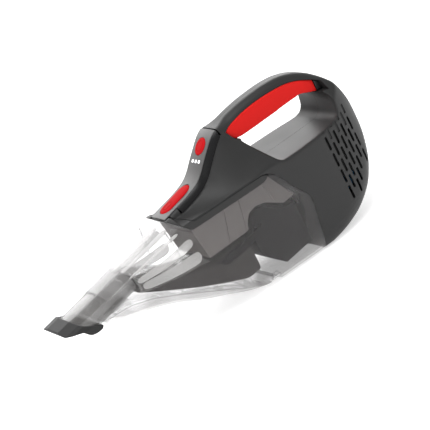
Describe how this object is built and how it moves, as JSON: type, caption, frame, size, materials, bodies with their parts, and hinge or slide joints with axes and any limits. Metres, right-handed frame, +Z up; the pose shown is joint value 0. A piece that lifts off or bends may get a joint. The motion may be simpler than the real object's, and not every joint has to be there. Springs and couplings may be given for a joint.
{
  "type": "handheld vacuum",
  "caption": "Cordless handheld vacuum with a closed loop handle, sloping control panel, clear dust cup with an emptying door and a flat slanted nozzle.",
  "frame": {"origin": "centre of the bounding box at the belly the vacuum rests on", "axes": "+X from the nozzle to the rear of the housing, +Y to the user's right seen from behind the nozzle, +Z up"},
  "size_m": [0.432, 0.1032, 0.1852],
  "materials": {
    "housing": "fine spark-eroded charcoal",
    "panel": "smooth satin grey",
    "buttons": "satin red",
    "grip": "soft-touch red",
    "dark_trim": "satin dark grey",
    "duct": "satin dark grey",
    "basket": "satin grey",
    "black_plastic": "satin black",
    "fan": "moulded grey",
    "board": "solder mask",
    "light_guide": "clear white",
    "motor_steel": "plated",
    "steel": "zinc plated",
    "clear_plastic": "clear moulded, polished",
    "smoke_plastic": "smoke grey moulded",
    "rubber": "matt",
    "filter_paper": "pleated",
    "wire": "insulation",
    "foam": "open-cell foam",
    "cell_wrap": "shrink wrap"
  },
  "bodies": {
    "housing": {"housing_left": "housing", "housing_right": "housing", "control_panel": "panel", "circuit_board": "board", "power_switch": "black_plastic", "light_guide": "light_guide", "latch_pin": "steel", "release_spring": "steel", "grip": "grip", "grip_collar": "dark_trim", "fan_shroud": "black_plastic", "motor_mount": "black_plastic", "motor": "motor_steel", "battery_cell_1": "cell_wrap", "battery_cell_2": "cell_wrap", "battery_cell_3": "cell_wrap", "battery_tray": "black_plastic", "exhaust_foam_left": "foam", "exhaust_foam_right": "foam", "charge_socket": "black_plastic", "wiring": "wire", "housing_screw_1": "steel", "housing_screw_2": "steel", "housing_screw_3": "steel", "housing_screw_4": "steel", "housing_screw_5": "steel"},
    "power_button": {"power_button": "buttons"},
    "release_button": {"release_button": "buttons"},
    "latch": {"latch_hook": "black_plastic"},
    "fan": {"fan_rotor": "fan"},
    "cup": {"cup_shell": "clear_plastic", "cup_rim": "dark_trim", "intake_duct": "duct", "filter_basket": "basket", "filter_holder": "black_plastic", "pleated_filter": "filter_paper", "filter_gasket": "rubber", "door_pin": "steel", "flap_pin": "steel"},
    "door": {"emptying_door": "clear_plastic"},
    "nozzle": {"nozzle_tube": "smoke_plastic", "nozzle_lip": "rubber"},
    "flap": {"inlet_flap": "rubber"}
  },
  "joints": [
    {"name": "cup_release", "type": "slide", "parent": "housing", "child": "cup", "axis": [-1, 0, 0], "range_m": [0, 0.13]},
    {"name": "door_hinge", "type": "hinge", "parent": "cup", "child": "door", "pos_m": [0.0255, 0, 0.0039], "axis": [0, -1, 0], "range_deg": [0, 60]},
    {"name": "nozzle_slide", "type": "slide", "parent": "cup", "child": "nozzle", "axis": [-0.9848, 0, -0.1738], "range_m": [0, 0.025]},
    {"name": "flap_hinge", "type": "hinge", "parent": "cup", "child": "flap", "pos_m": [-0.111, 0, 0.0918], "axis": [0, -1, 0], "range_deg": [0, 60]},
    {"name": "power_press", "type": "slide", "parent": "housing", "child": "power_button", "axis": [0.661, 0, -0.7504], "range_m": [0, 0.0012], "stiffness_N_per_m": 1200, "springref_m": -0.001},
    {"name": "release_press", "type": "slide", "parent": "housing", "child": "release_button", "axis": [0.2216, 0, -0.9751], "range_m": [0, 0.003], "stiffness_N_per_m": 900, "springref_m": -0.002, "deforming": ["release_spring"]},
    {"name": "latch_turn", "type": "hinge", "parent": "housing", "child": "latch", "pos_m": [-0.021, 0, 0.1202], "axis": [0, 1, 0], "range_deg": [0, 10]},
    {"name": "fan_spin", "type": "hinge", "parent": "housing", "child": "fan", "pos_m": [0.11, 0, 0.062], "axis": [1, 0, 0], "continuous": true}
  ],
  "couplings": [
    {"joint": "latch_turn", "follows": "release_press", "rad_per_m": 52.36}
  ]
}
